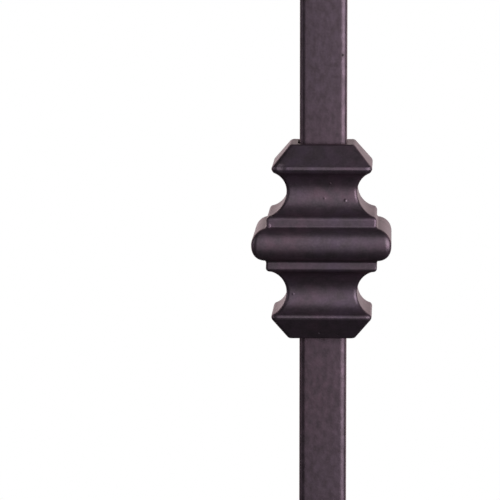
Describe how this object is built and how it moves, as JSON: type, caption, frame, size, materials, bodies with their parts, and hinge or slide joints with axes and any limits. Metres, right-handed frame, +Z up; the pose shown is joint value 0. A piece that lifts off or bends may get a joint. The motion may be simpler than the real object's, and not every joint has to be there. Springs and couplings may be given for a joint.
{
  "type": "single knuckle stair baluster",
  "caption": "Square steel stair baluster with one moulded cast knuckle above its middle, a round dowel on top and a plain sawn bottom end.",
  "frame": {"origin": "centre of the bar's bottom end face", "axes": "+Z up along the bar to the dowel; +X and +Y square to the bar's flat faces, with -Y the face seen in the picture"},
  "size_m": [0.0376, 0.0376, 1.1176],
  "materials": {
    "coated_bar": "satin dark bronze powder coat over drawn steel",
    "coated_casting": "satin dark bronze powder coat over cast iron"
  },
  "bodies": {
    "root": {"bar": "coated_bar", "knuckle": "coated_casting"}
  },
  "joints": []
}
